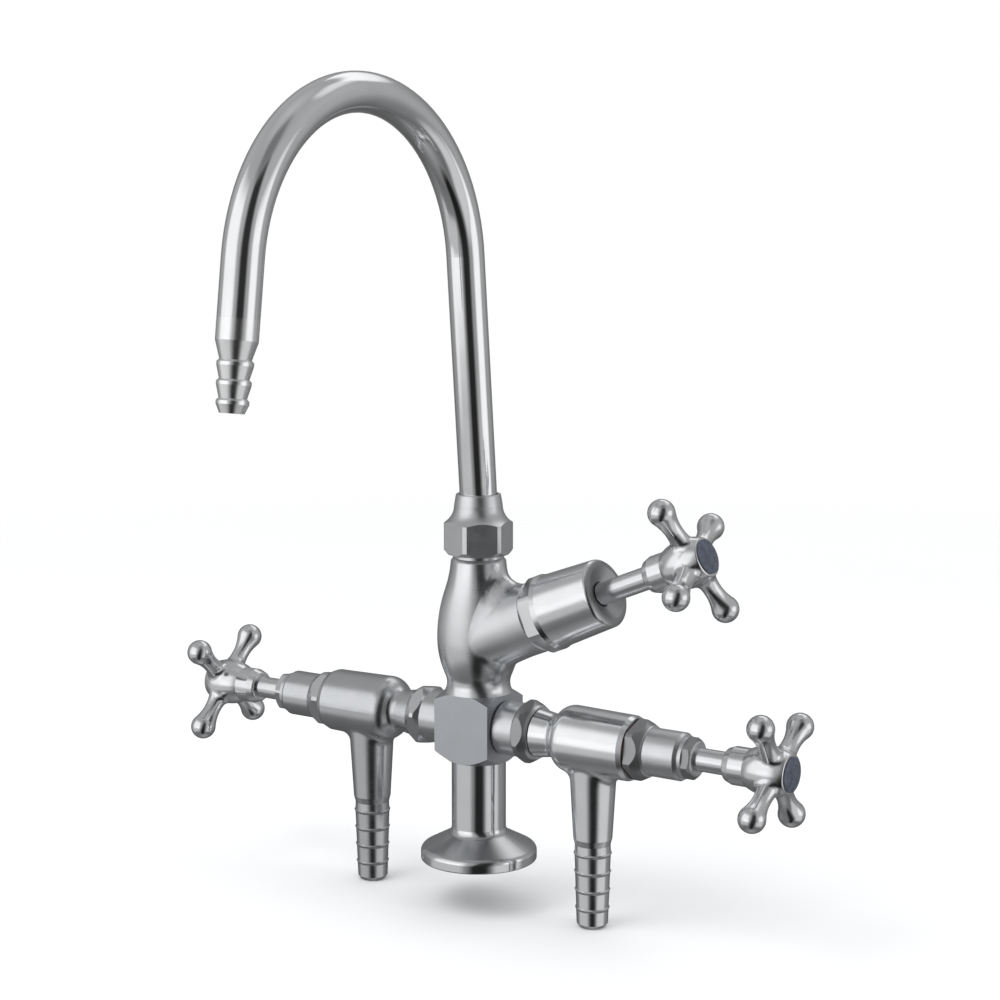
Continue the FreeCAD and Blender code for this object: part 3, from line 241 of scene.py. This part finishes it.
def off_axis(material, radius):
    """1 farther than this radius from the line along X that the hose cocks lie on, 0 nearer."""
    nodes = material.node_tree.nodes
    place = nodes.new("ShaderNodeTexCoord")
    across = nodes.new("ShaderNodeVectorMath")
    across.operation = "MULTIPLY_ADD"
    across.inputs[1].default_value = (0.0, 1.0, 1.0)
    across.inputs[2].default_value = (0.0, 0.0, -COCK_AXIS_HEIGHT)
    reach = nodes.new("ShaderNodeVectorMath")
    reach.operation = "LENGTH"
    edge = nodes.new("ShaderNodeMapRange")
    edge.inputs["From Min"].default_value = radius - HEXAGON_EDGE
    edge.inputs["From Max"].default_value = radius + HEXAGON_EDGE
    links = material.node_tree.links
    links.new(place.outputs["Object"], across.inputs[0])
    links.new(across.outputs["Vector"], reach.inputs[0])
    links.new(reach.outputs["Value"], edge.inputs["Value"])
    return edge.outputs["Result"]


for piece, radius in HEXAGON_RADIUS.items():
    plate = chrome(f"right_{piece}_chrome", **NUT_PLATE)
    # Painted shade: on the right cock the flats beyond this radius are made darker as well as
    # rougher.
    darken_and_roughen(plate, off_axis(plate, radius), darker=0.52, roughness=0.42)
    finish(plate, "chrome", f"right_{piece}")
    finish(left_painted_shade_chrome, "chrome", f"left_{piece}")


# The swan neck is a drawn brass tube, bent and soldered to its ribbed nozzle.
# Drawing and belt polishing leave fine marks along it.
NECK_MARKS = {"wave": 0.014, "wave_depth": 0.00002, "rub": (1.0, 0.3, 0.3)}
neck_chrome = chrome("neck_chrome", tone=(0.88, 0.89, 0.905), gloss=(0.07, 0.11), **NECK_MARKS)
# The nozzle's plate is painted lighter than the neck's, as painted light, and is rougher.
nozzle_painted_light_chrome = chrome("nozzle_painted_light_chrome", tone=(0.95, 0.955, 0.965), gloss=(0.21, 0.25), **NECK_MARKS)
finish(neck_chrome, "chrome", "swan_tube")
finish(nozzle_painted_light_chrome, "chrome", "swan_nozzle")


# The hexagonal nut that holds the neck is turned from brass bar and linished on its flats.
# The bonnet and the gland nut under the bell are made in the same way.
nut_chrome = chrome("nut_chrome", **NUT_PLATE)
finish(nut_chrome, "chrome", "swan_nut", "upper_bonnet", "upper_gland_nut")


# Each of the three valves has a turned spindle and a cross handle on its end.
# The handles are small castings, tumbled and then buffed.
SIDES = ("left", "right", "upper")
valve_chrome = chrome(
    "valve_chrome", tone=(0.80, 0.815, 0.835), gloss=(0.18, 0.23), wave=0.008, wave_depth=0.00002
)
handle_chrome = chrome(
    "handle_chrome", tone=(0.84, 0.85, 0.87), gloss=(0.16, 0.21), wave=0.006, wave_depth=0.00003
)
for side in SIDES:
    finish(valve_chrome, "chrome", f"{side}_spindle")
    finish(handle_chrome, "chrome", f"{side}_handle")


# A hard enamel cap closes each handle over its screw.
# It is dark blue-grey and slightly mottled, with nothing printed on it.
cap_enamel, cap_shader = new_material("cap_enamel", (0.055, 0.065, 0.09), metal=0.0, roughness=0.3)
cap_cloud = cloud(cap_enamel, size=0.002, detail=4.0)
tint(cap_enamel, cap_shader, cap_cloud, dark=(0.038, 0.046, 0.066), light=(0.082, 0.095, 0.125))
relief(cap_enamel, cap_shader, cap_cloud, depth=0.00001)
for side in SIDES:
    finish(cap_enamel, "cap", f"{side}_handle_cap")


# Pieces inside the valves and joints: fibre and rubber washers, graphite packing,
# bare brass plungers and steel screws. Only the washers' edges show from outside.
fibre, fibre_shader = new_material("red_fibre", (0.12, 0.045, 0.03), metal=0.0, roughness=0.7)
fibre_cloud = cloud(fibre, size=0.0008, detail=4.0)
tint(fibre, fibre_shader, fibre_cloud, dark=(0.08, 0.03, 0.02), light=(0.16, 0.06, 0.04))
rubber, rubber_shader = new_material("black_rubber", (0.02, 0.02, 0.022), metal=0.0, roughness=0.6)
rubber_cloud = cloud(rubber, size=0.001, detail=3.0)
tint(rubber, rubber_shader, rubber_cloud, dark=(0.015, 0.015, 0.016), light=(0.03, 0.03, 0.032))
yarn, yarn_shader = new_material("graphite_yarn", (0.05, 0.05, 0.048), metal=0.0, roughness=0.65)
yarn_cloud = cloud(yarn, size=0.0006, detail=4.0)
tint(yarn, yarn_shader, yarn_cloud, dark=(0.03, 0.03, 0.03), light=(0.08, 0.08, 0.075))
brass, brass_shader = new_material("bare_brass", (0.60, 0.42, 0.16), metal=1.0, roughness=0.28)
brass_cloud = cloud(brass, size=0.003, detail=3.0)
tint(brass, brass_shader, brass_cloud, dark=(0.52, 0.35, 0.12), light=(0.64, 0.46, 0.19))
steel, steel_shader = new_material("turned_steel", (0.45, 0.45, 0.46), metal=1.0, roughness=0.35)
steel_cloud = cloud(steel, size=0.002, detail=3.0)
tint(steel, steel_shader, steel_cloud, dark=(0.38, 0.38, 0.39), light=(0.50, 0.50, 0.51))
finish(fibre, "fibre", "pillar_gasket", "swan_body_gasket", "swan_washer")
finish(fibre, "fibre", "left_union_washer", "right_union_washer")
finish(rubber, "rubber", "swan_ring_seal")
finish(brass, "brass", "swan_ferrule")
for side in SIDES:
    finish(fibre, "fibre", f"{side}_bonnet_washer")
    finish(yarn, "packing", f"{side}_packing")
    finish(brass, "brass", f"{side}_plunger", f"{side}_plunger_screw")
    finish(rubber, "rubber", f"{side}_plunger_washer")
    finish(steel, "steel", f"{side}_handle_screw")


# The camera has the photograph's view: in front of the tap, to the right of the spout
# and a little above it.
camera_data = bpy.data.cameras.new("photo_camera")
camera_data.sensor_width = 36.0
camera_data.lens = 79.23
camera_data.clip_start = 0.05
camera_data.clip_end = 50.0
camera = bpy.data.objects.new("photo_camera", camera_data)
bpy.context.scene.collection.objects.link(camera)
camera_right = Vector((0.8295, 0.5585, 0.0))
camera_up = Vector((-0.0813, 0.1208, 0.9893))
camera_back = Vector((0.5525, -0.8207, 0.1456))
camera_turn = Matrix((camera_right, camera_up, camera_back)).transposed()
camera.rotation_mode = "QUATERNION"
camera.rotation_quaternion = camera_turn.to_quaternion()
camera.location = (0.565982, -0.822966, 0.316583)
bpy.context.scene.camera = camera


# The studio floor is a pale seamless sheet just below the hose nozzles.
# It fades out into the white surround far from the tap.
FLOOR_HEIGHT = -0.0212
FLOOR_RADIUS = 6.0
FADE_START = 0.35
FADE_END = 1.4
floor_mesh = bpy.data.meshes.new("studio_floor")
sheet = bmesh.new()
bmesh.ops.create_circle(sheet, cap_ends=True, radius=FLOOR_RADIUS, segments=96)
sheet.to_mesh(floor_mesh)
sheet.free()
floor = bpy.data.objects.new("studio_floor", floor_mesh)
floor.location.z = FLOOR_HEIGHT
bpy.context.scene.collection.objects.link(floor)
paper, paper_shader = new_material("floor_paper", (0.9, 0.9, 0.9), metal=0.0, roughness=0.9)
paper_cloud = cloud(paper, size=0.4)
tint(paper, paper_shader, paper_cloud, dark=(0.89, 0.89, 0.89), light=(0.92, 0.92, 0.92))
paper_nodes = paper.node_tree.nodes
paper_links = paper.node_tree.links
paper_out = next(n for n in paper_nodes if n.type == "OUTPUT_MATERIAL")
paper_place = paper_nodes.new("ShaderNodeTexCoord")
paper_reach = paper_nodes.new("ShaderNodeVectorMath")
paper_reach.operation = "LENGTH"
paper_fade = paper_nodes.new("ShaderNodeMapRange")
paper_fade.inputs["From Min"].default_value = FADE_START
paper_fade.inputs["From Max"].default_value = FADE_END
paper_clear = paper_nodes.new("ShaderNodeBsdfTransparent")
paper_mix = paper_nodes.new("ShaderNodeMixShader")
paper_links.new(paper_place.outputs["Object"], paper_reach.inputs[0])
paper_links.new(paper_reach.outputs["Value"], paper_fade.inputs["Value"])
paper_links.new(paper_fade.outputs["Result"], paper_mix.inputs["Fac"])
paper_links.new(paper_shader.outputs["BSDF"], paper_mix.inputs[1])
paper_links.new(paper_clear.outputs["BSDF"], paper_mix.inputs[2])
paper_links.new(paper_mix.outputs["Shader"], paper_out.inputs["Surface"])
floor_mesh.materials.append(paper)
floor.visible_glossy = False


# The surround is white to the camera and in reflections.
# It also lights the tap from all sides, softly and a little cool.
world = bpy.data.worlds.new("white_surround")
bpy.context.scene.world = world
world.use_nodes = True
world_nodes = world.node_tree.nodes
world_links = world.node_tree.links
world_nodes.clear()
world_out = world_nodes.new("ShaderNodeOutputWorld")
seen_white = world_nodes.new("ShaderNodeBackground")
seen_white.inputs["Color"].default_value = (1.0, 1.0, 1.0, 1.0)
seen_white.inputs["Strength"].default_value = 1.0
soft_light = world_nodes.new("ShaderNodeBackground")
soft_light.inputs["Color"].default_value = (0.96, 0.98, 1.0, 1.0)
soft_light.inputs["Strength"].default_value = 0.98
path = world_nodes.new("ShaderNodeLightPath")
seen = world_nodes.new("ShaderNodeMath")
seen.operation = "MAXIMUM"
seen_all = world_nodes.new("ShaderNodeMath")
seen_all.operation = "MAXIMUM"
world_mix = world_nodes.new("ShaderNodeMixShader")
world_links.new(path.outputs["Is Camera Ray"], seen.inputs[0])
world_links.new(path.outputs["Is Glossy Ray"], seen.inputs[1])
world_links.new(seen.outputs["Value"], seen_all.inputs[0])
world_links.new(path.outputs["Is Transmission Ray"], seen_all.inputs[1])
world_links.new(seen_all.outputs["Value"], world_mix.inputs["Fac"])
world_links.new(soft_light.outputs["Background"], world_mix.inputs[1])
world_links.new(seen_white.outputs["Background"], world_mix.inputs[2])
world_links.new(world_mix.outputs["Shader"], world_out.inputs["Surface"])


# A round cloth tent hangs round the tap and is seen only in its reflections, as grey walls.
# A dark gap at the camera draws the streak down every tube, and bright windows stand beside it.
# Angles on it are in degrees, round the tap from the camera to its right, and up from level.
CAMERA_AZIMUTH = 33.95
TENT_RADIUS = 2.5
TAP_MIDDLE = 0.15
DEGREES = 180.0 / math.pi
tent_mesh = bpy.data.meshes.new("reflection_tent")
ball = bmesh.new()
bmesh.ops.create_uvsphere(ball, u_segments=64, v_segments=32, radius=TENT_RADIUS)
ball.to_mesh(tent_mesh)
ball.free()
tent = bpy.data.objects.new("reflection_tent", tent_mesh)
tent.location.z = TAP_MIDDLE
tent.rotation_euler.z = math.radians(CAMERA_AZIMUTH)
bpy.context.scene.collection.objects.link(tent)
tent.visible_camera = False
tent.visible_diffuse = False
tent.visible_transmission = False
tent.visible_shadow = False
tent_cloth = bpy.data.materials.new("tent_cloth")
tent_cloth.use_nodes = True
tent_nodes = tent_cloth.node_tree.nodes
tent_links = tent_cloth.node_tree.links
tent_nodes.clear()


def sum_up(kind, first, second, third=None):
    """One step of arithmetic on the tent's numbers."""
    step = tent_nodes.new("ShaderNodeMath")
    step.operation = kind
    for socket, value in zip(step.inputs, (first, second, third)):
        if value is None:
            continue
        if isinstance(value, (int, float)):
            socket.default_value = value
        else:
            tent_links.new(value, socket)
    return step.outputs["Value"]


def band(value, middle, half, soft):
    """1 inside the band, 0 outside it, with a soft edge."""
    off = sum_up("ABSOLUTE", sum_up("SUBTRACT", value, middle), 0.0)
    edge = tent_nodes.new("ShaderNodeMapRange")
    edge.interpolation_type = "SMOOTHSTEP"
    edge.inputs["From Min"].default_value = half - soft
    edge.inputs["From Max"].default_value = half + soft
    edge.inputs["To Min"].default_value = 1.0
    edge.inputs["To Max"].default_value = 0.0
    tent_links.new(off, edge.inputs["Value"])
    return edge.outputs["Result"]


tent_place = tent_nodes.new("ShaderNodeTexCoord")
tent_axes = tent_nodes.new("ShaderNodeSeparateXYZ")
tent_links.new(tent_place.outputs["Object"], tent_axes.inputs["Vector"])
ahead = sum_up("MULTIPLY", tent_axes.outputs["Y"], -1.0)
turn_round = sum_up("ARCTAN2", tent_axes.outputs["X"], ahead)
round_angle = sum_up("MULTIPLY", turn_round, DEGREES)
turn_up = sum_up("ARCSINE", sum_up("DIVIDE", tent_axes.outputs["Z"], TENT_RADIUS), 0.0)
height_angle = sum_up("MULTIPLY", turn_up, DEGREES)


def patch(across, up, strength, around=round_angle):
    """A soft rectangle on the tent: middle, half width and softness each way, in degrees."""
    both = sum_up("MULTIPLY", band(around, *across), band(height_angle, *up))
    return sum_up("MULTIPLY", both, strength)


def brightest(*values):
    """The largest of these numbers."""
    best = values[0]
    for value in values[1:]:
        best = sum_up("MAXIMUM", best, value)
    return best


windows = brightest(
    patch((-62.0, 37.0, 13.0), (14.0, 34.0, 16.0), 1.00),
    patch((-52.0, 24.0, 12.0), (2.0, 18.0, 12.0), 1.12),
    patch((70.0, 24.0, 11.0), (0.0, 22.0, 14.0), 1.00),
    patch((111.0, 23.0, 14.0), (55.0, 14.0, 12.0), 0.75),
    patch((152.0, 32.0, 8.0), (46.0, 12.0, 6.0), 1.05),
)
table_glow = brightest(
    patch((-70.0, 42.0, 14.0), (-22.0, 14.0, 8.0), 0.53),
    patch((60.0, 34.0, 14.0), (-26.0, 18.0, 10.0), 0.62),
)
above_table = band(height_angle, middle=90.0, half=104.0, soft=5.0)
window = brightest(sum_up("MULTIPLY", windows, above_table), table_glow)
WALL_GREYS = (
    (-90.0, 0.35),
    (-70.0, 0.23),
    (-55.0, 0.15),
    (-40.0, 0.20),
    (-25.0, 0.22),
    (-10.0, 0.30),
    (0.0, 0.37),
    (30.0, 0.43),
    (65.0, 0.38),
    (90.0, 0.50),
)
WALL_SPAN = 180.0
wall = tent_nodes.new("ShaderNodeValToRGB")
wall_ramp = wall.color_ramp
while len(wall_ramp.elements) < len(WALL_GREYS):
    wall_ramp.elements.new(0.5)
for stop, (angle, grey) in zip(wall_ramp.elements, WALL_GREYS):
    stop.position = angle / WALL_SPAN + 0.5
    stop.color = (grey, grey, grey, 1.0)
tent_links.new(sum_up("MULTIPLY_ADD", height_angle, 1.0 / WALL_SPAN, 0.5), wall.inputs["Fac"])
GAP_LEAN = -0.28
lean = sum_up("MULTIPLY_ADD", height_angle, GAP_LEAN, round_angle)
behind = sum_up("ABSOLUTE", round_angle, 0.0)
gap = brightest(
    patch((7.0, 20.0, 9.0), (-8.0, 58.0, 10.0), 0.93, lean),
    patch((5.0, 31.0, 16.0), (60.0, 14.0, 8.0), 0.52, lean),
)
rear = patch((180.0, 50.0, 23.0), (-8.0, 40.0, 18.0), 0.49, behind)
shade = brightest(gap, rear)
bright = brightest(wall.outputs["Color"], window)
glow = sum_up("MULTIPLY", bright, sum_up("SUBTRACT", 1.0, shade))
tent_glow = tent_nodes.new("ShaderNodeEmission")
tent_links.new(glow, tent_glow.inputs["Strength"])
tent_out = tent_nodes.new("ShaderNodeOutputMaterial")
tent_links.new(tent_glow.outputs["Emission"], tent_out.inputs["Surface"])
tent_mesh.materials.append(tent_cloth)


# One large soft lamp stands above and in front of the tap, and a weaker one on its right.
# Neither shows in the plate, which reflects the tent and the tap itself.
LAMP_DISTANCE = 1.8


def lamp(name, azimuth, elevation, size, power):
    """A square lamp that faces the tap. Azimuth 0 is towards -Y and 90 towards +X."""
    turn = math.radians(azimuth)
    lift = math.radians(elevation)
    level = math.cos(lift)
    away = Vector((math.sin(turn) * level, -math.cos(turn) * level, math.sin(lift)))
    data = bpy.data.lights.new(name, "AREA")
    data.shape = "RECTANGLE"
    data.size = size
    data.size_y = size
    data.energy = power
    piece = bpy.data.objects.new(name, data)
    piece.rotation_mode = "QUATERNION"
    piece.rotation_quaternion = away.to_track_quat("Z", "Y")
    piece.location = Vector((0.0, 0.0, TAP_MIDDLE)) + away * LAMP_DISTANCE
    piece.visible_glossy = False
    bpy.context.scene.collection.objects.link(piece)


lamp("key_lamp", azimuth=-30.0, elevation=55.0, size=1.0, power=10.0)
lamp("fill_lamp", azimuth=100.0, elevation=40.0, size=0.8, power=5.0)
bpy.context.scene.view_settings.view_transform = "Standard"
